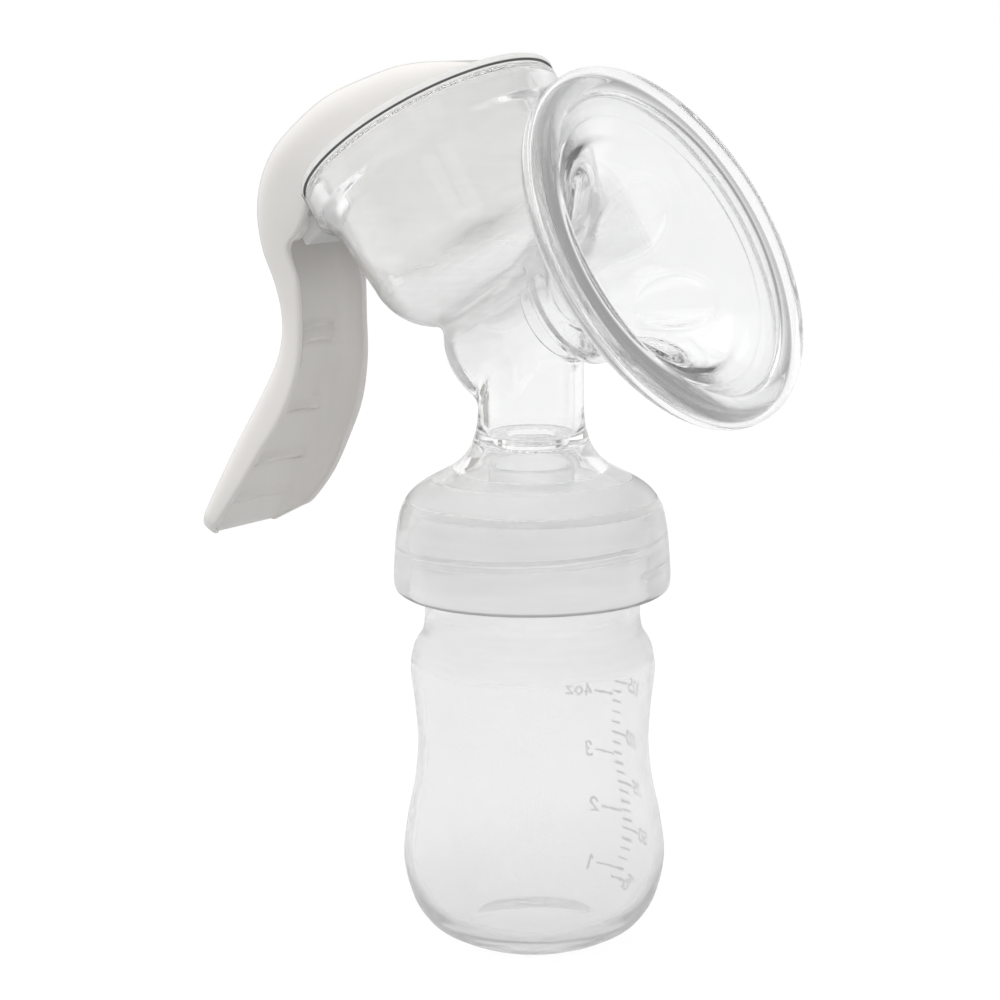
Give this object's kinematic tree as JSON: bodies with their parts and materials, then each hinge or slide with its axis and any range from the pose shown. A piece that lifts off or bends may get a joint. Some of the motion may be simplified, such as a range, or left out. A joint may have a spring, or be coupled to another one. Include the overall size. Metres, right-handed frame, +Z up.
{
  "type": "breast pump",
  "caption": "Hand-lever breast pump: clear funnel and pump bowl over a waisted bottle, with a squeeze handle that lifts a soft diaphragm.",
  "frame": {"origin": "on the bottle axis at the plane the bottle stands on", "axes": "+Z up along the bottle axis, +X towards the funnel side, handle on the -X side, +Y to the left when looking along +X"},
  "size_m": [0.1504, 0.088, 0.2074],
  "materials": {
    "bottle_plastic": "slightly milky clear polypropylene",
    "clear_plastic": "water-clear polypropylene",
    "seal_silicone": "milky silicone",
    "valve_silicone": "milky silicone",
    "cushion_silicone": "clear soft silicone",
    "diaphragm_silicone": "milky silicone",
    "rod_plastic": "white plastic",
    "handle_plastic": "warm white satin plastic"
  },
  "bodies": {
    "bottle_body": {"bottle": "bottle_plastic"},
    "seal_body": {"neck_seal": "seal_silicone"},
    "upper_body": {"pump_body": "clear_plastic", "outlet_valve": "valve_silicone", "massage_cushion": "cushion_silicone", "diaphragm": "diaphragm_silicone"},
    "lever": {"handle": "handle_plastic"},
    "rod": {"pull_rod": "rod_plastic"}
  },
  "joints": [
    {"name": "body_lift", "type": "slide", "parent": "bottle_body", "child": "seal_body", "axis": [0, 0, 1], "range_m": [0, 0.0075]},
    {"name": "body_unscrew", "type": "hinge", "parent": "seal_body", "child": "upper_body", "pos_m": [0, 0, 0.0836], "axis": [0, 0, 1], "range_deg": [0, 450]},
    {"name": "handle_pivot", "type": "hinge", "parent": "upper_body", "child": "lever", "pos_m": [-0.06079, 0, 0.16864], "axis": [0, -1, 0], "range_deg": [0, 20], "stiffness_Nm_per_rad": 0.6},
    {"name": "rod_lift", "type": "slide", "parent": "upper_body", "child": "rod", "axis": [-0.5446, 0, 0.8387], "range_m": [0, 0.0144], "deforming": ["diaphragm"]}
  ],
  "couplings": [
    {"joint": "body_lift", "follows": "body_unscrew", "m_per_rad": 0.00095493},
    {"joint": "rod_lift", "follows": "handle_pivot", "m_per_rad": 0.0409}
  ]
}
